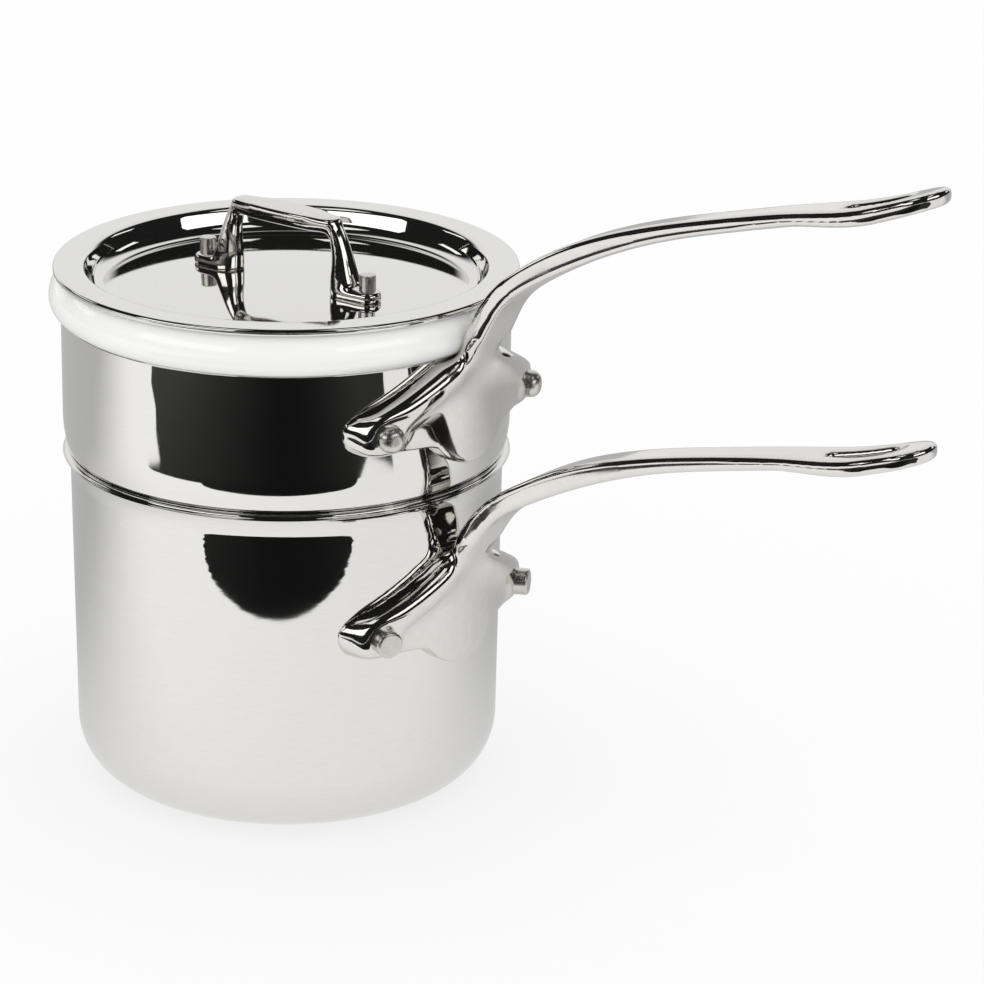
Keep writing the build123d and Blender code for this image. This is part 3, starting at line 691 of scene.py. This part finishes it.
def roomMaterial():
    # dark room beyond the table: nearly black, a little lighter at its sides
    material, tree = newMaterial("dark room")
    where = addNode(tree, "ShaderNodeTexCoord").outputs["Object"]
    ramp = addNode(tree, "ShaderNodeFloatCurve")
    stops = studio["roomFade"]
    span = stops[-1][0] - stops[0][0]
    curve = ramp.mapping.curves[0]
    while len(curve.points) < len(stops):
        curve.points.new(0.5, 0.5)
    for point, (place, level) in zip(curve.points, stops):
        point.location = ((place - stops[0][0]) / span, level)
    ramp.mapping.update()
    across = fade(tree, alongDirection(tree, where, toRight), (stops[0][0], stops[-1][0]), (0, 1))
    across.node.interpolation_type = "LINEAR"
    tree.links.new(across, ramp.inputs["Value"])
    shader = addNode(tree, "ShaderNodeEmission", {"Color": (1, 1, 1, 1)}, {"Strength": ramp.outputs[0]})
    return finishMaterial(material, tree, shader.outputs["Emission"])


def lampMaterial(name, strength):
    # softbox: evenly bright all over
    material, tree = newMaterial(name)
    shader = addNode(tree, "ShaderNodeEmission", {"Color": (1, 1, 1, 1), "Strength": strength})
    return finishMaterial(material, tree, shader.outputs["Emission"])


half = studio["floorSize"] / 2
addCard("studioTable", [[(-half, -half, 0), (half, -half, 0)], [(-half, half, 0), (half, half, 0)]],
        tableMaterial(), reflectedOnly=False)
addCard("studioRoom", [[towardCamera * f + toRight * r + Vector((0, 0, studio["roomLift"]))
                        for f, r in studio["tableEdge"]]], roomMaterial())

# Softboxes: bearings from the camera, elevations seen from the lid, distance and strength
softboxes = {
    "studioSoftboxRight": {"bearings": (24, 66), "elevations": (13, 30), "distance": 1.7, "strength": 1.6},
    "studioSoftboxLeft": {"bearings": (-76, -25), "elevations": (13, 30), "distance": 1.7, "strength": 1.6},
    "studioPanelRight": {"bearings": (28, 62), "elevations": (53, 70), "distance": 1.2, "strength": 1.1},
    "studioPanelLeft": {"bearings": (-70, -30), "elevations": (53, 70), "distance": 1.2, "strength": 1.1},
    "studioDoorRight": {"bearings": (104, 124), "elevations": (15, 24), "distance": 1.7, "strength": 1.2},
    "studioDoorLeft": {"bearings": (-130, -108), "elevations": (15, 24), "distance": 1.7, "strength": 1.2},
}
lidEye = 0.175
for name, look in softboxes.items():
    rows = []
    for elevation in look["elevations"]:
        height = lidEye + look["distance"] * math.tan(math.radians(elevation))
        span = look["bearings"][1] - look["bearings"][0]
        places = [bearingVector(look["bearings"][0] + span * i / 12) * look["distance"] for i in range(13)]
        rows.append([place + Vector((0, 0, height)) for place in places])
    addCard(name, rows, lampMaterial(name, look["strength"]))

# One broad lamp over the camera's left shoulder gives the porcelain its shape
lampLook = {"bearing": -5, "distance": 1.9, "height": 1.5, "size": 1.4, "power": 1.6}
lamp = bpy.data.objects.new("studioLamp", bpy.data.lights.new("studioLamp", "AREA"))
bpy.context.scene.collection.objects.link(lamp)
lamp.data.size = lampLook["size"]
lamp.data.energy = lampLook["power"]
lamp.location = bearingVector(lampLook["bearing"]) * lampLook["distance"] + Vector((0, 0, lampLook["height"]))
lamp.rotation_euler = (Vector((0, 0, lidEye)) - lamp.location).to_track_quat("-Z", "Y").to_euler()
lamp.visible_glossy = False

# Sky: even white for the eye and for the light; in reflections a white wall behind and a dark room in front
world = bpy.data.worlds.new("studioSky")
world.use_nodes = True
sky = world.node_tree
sky.nodes.clear()
direction = addNode(sky, "ShaderNodeTexCoord").outputs["Generated"]
rays = addNode(sky, "ShaderNodeLightPath")
lift = alongDirection(sky, direction, (0, 0, 1))
level = mathNode(sky, "SQRT", mathNode(sky, "SUBTRACT", 1.001, mathNode(sky, "MULTIPLY", lift, lift)), 0)
facing = mathNode(sky, "DIVIDE", alongDirection(sky, direction, towardCamera), level)
darkness = mathNode(sky, "MAXIMUM", fade(sky, lift, studio["ceiling"], (0, 1)),
                    fade(sky, facing, studio["frontFade"], (0, 1)))
mirrored = fade(sky, darkness, (0, 1), (studio["wallStrength"], studio["darkStrength"]))
mirrored.node.interpolation_type = "LINEAR"
seen = fade(sky, rays.outputs["Is Camera Ray"], (0, 1), (studio["skyForLight"], studio["skyForCamera"]))
strength = addNode(sky, "ShaderNodeMix", {"data_type": "FLOAT"}, {"Factor": rays.outputs["Is Glossy Ray"]})
sky.links.new(seen, strength.inputs["A"])
sky.links.new(mirrored, strength.inputs["B"])
background = addNode(sky, "ShaderNodeBackground", {"Color": (1, 1, 1, 1)},
                     {"Strength": strength.outputs["Result"]})
addNode(sky, "ShaderNodeOutputWorld", links={"Surface": background.outputs[0]})
bpy.context.scene.world = world

camera = bpy.data.objects.new("camera", bpy.data.cameras.new("camera"))
bpy.context.scene.collection.objects.link(camera)
heading = math.radians(cameraSetup["bearing"] + 180 - cameraSetup["yaw"])
pitch, roll = math.radians(cameraSetup["pitch"]), math.radians(cameraSetup["roll"])
forward = Vector((math.cos(heading) * math.cos(pitch), math.sin(heading) * math.cos(pitch), -math.sin(pitch)))
right = Vector((math.sin(heading), -math.cos(heading), 0))
up = right.cross(forward)
right, up = right * math.cos(roll) + up * math.sin(roll), up * math.cos(roll) - right * math.sin(roll)
place = Matrix((right, up, -forward)).transposed().to_4x4()
place.translation = towardCamera * cameraSetup["distance"] + Vector((0, 0, cameraSetup["height"]))
camera.matrix_world = place
camera.data.sensor_width = 36
camera.data.lens = cameraSetup["lens"]
camera.data.shift_x, camera.data.shift_y = cameraSetup["shift"]
bpy.context.scene.camera = camera
bpy.context.scene.view_settings.view_transform = "Standard"
print("studio done")
